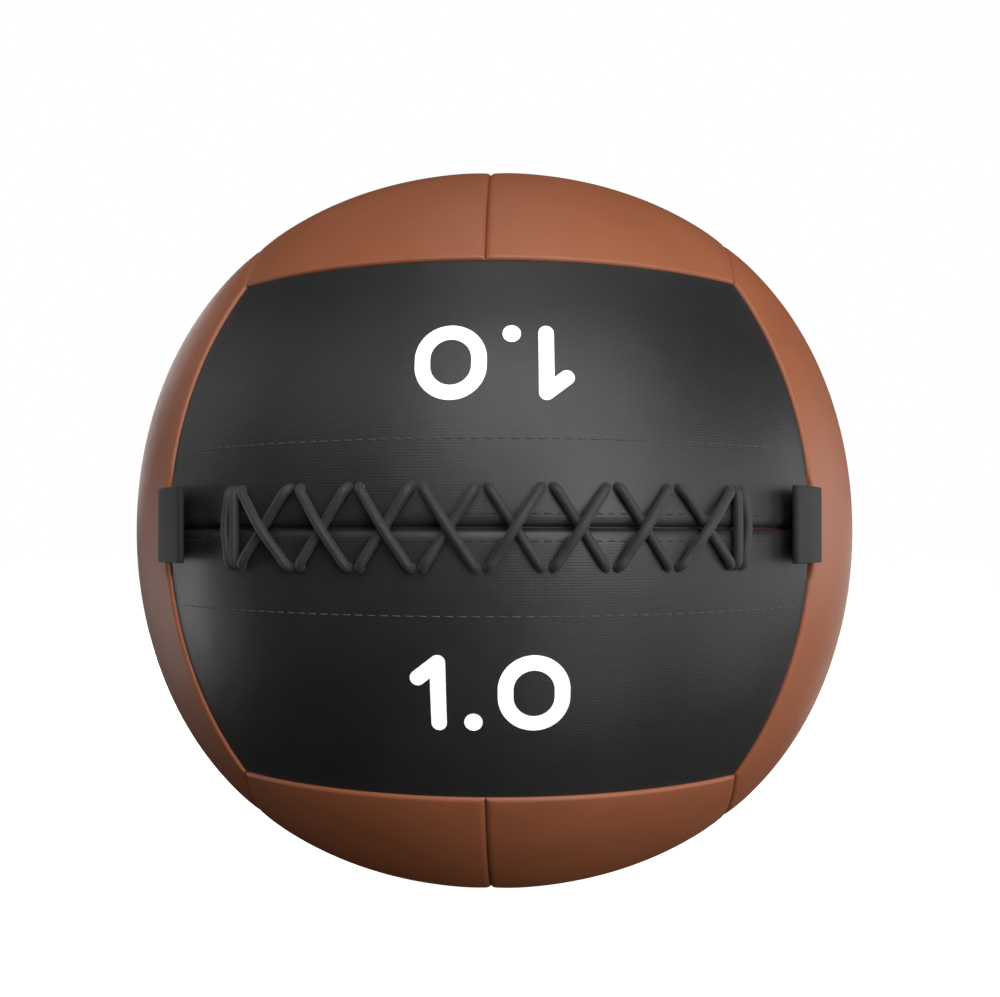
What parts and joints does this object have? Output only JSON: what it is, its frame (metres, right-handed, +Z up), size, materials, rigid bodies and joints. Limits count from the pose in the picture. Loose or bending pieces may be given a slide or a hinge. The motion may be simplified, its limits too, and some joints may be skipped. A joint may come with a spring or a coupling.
{
  "type": "medicine ball",
  "caption": "Soft round medicine ball with a padded brown and black panel cover, a laced closure slit and folding webbing pull tabs.",
  "frame": {"origin": "centre of the ball", "axes": "+Z up, -Y out of the laced black face, +X to the right of a viewer who looks at that face; the slit lies along X"},
  "size_m": [0.35, 0.3531, 0.35],
  "materials": {
    "black_cover": "satin",
    "brown_cover": "satin",
    "foam": "matte",
    "lace_cord": "matte",
    "webbing": "matte",
    "facing_tape": "matte",
    "closure_strip": "satin",
    "mark_film": "matte",
    "liner_cloth": "matte",
    "textile_fill": "matte",
    "granules": "matte",
    "canvas": "matte"
  },
  "bodies": {
    "ball": {"ballast_granules": "granules", "ballast_sack": "canvas", "ballast_tie": "canvas", "bottom_left_pad": "foam", "bottom_left_panel": "brown_cover", "bottom_right_pad": "foam", "bottom_right_panel": "brown_cover", "closure_strip": "closure_strip", "falling_lace": "lace_cord", "fibre_fill": "textile_fill", "front_lower_pad": "foam", "front_lower_panel": "black_cover", "front_upper_pad": "foam", "front_upper_panel": "black_cover", "left_front_pad": "foam", "left_front_panel": "brown_cover", "left_lace_knots": "lace_cord", "left_rear_pad": "foam", "left_rear_panel": "brown_cover", "left_tab_root": "webbing", "liner_bag": "liner_cloth", "lower_facing": "facing_tape", "lower_weight_mark": "mark_film", "rear_lower_pad": "foam", "rear_lower_panel": "black_cover", "rear_upper_pad": "foam", "rear_upper_panel": "black_cover", "right_front_pad": "foam", "right_front_panel": "brown_cover", "right_lace_knots": "lace_cord", "right_rear_pad": "foam", "right_rear_panel": "brown_cover", "right_tab_root": "webbing", "rising_lace": "lace_cord", "top_left_pad": "foam", "top_left_panel": "brown_cover", "top_right_pad": "foam", "top_right_panel": "brown_cover", "upper_facing": "facing_tape", "upper_weight_mark": "mark_film"},
    "left_tab": {"left_pull_tab": "webbing"},
    "right_tab": {"right_pull_tab": "webbing"}
  },
  "joints": [
    {"name": "left_tab_fold", "type": "hinge", "parent": "ball", "child": "left_tab", "pos_m": [-0.1286, -0.12161, 0.0014], "axis": [0, 0, -1], "range_deg": [-6, 115]},
    {"name": "right_tab_fold", "type": "hinge", "parent": "ball", "child": "right_tab", "pos_m": [0.1286, -0.12161, 0.0014], "axis": [0, 0, 1], "range_deg": [-6, 115]}
  ]
}
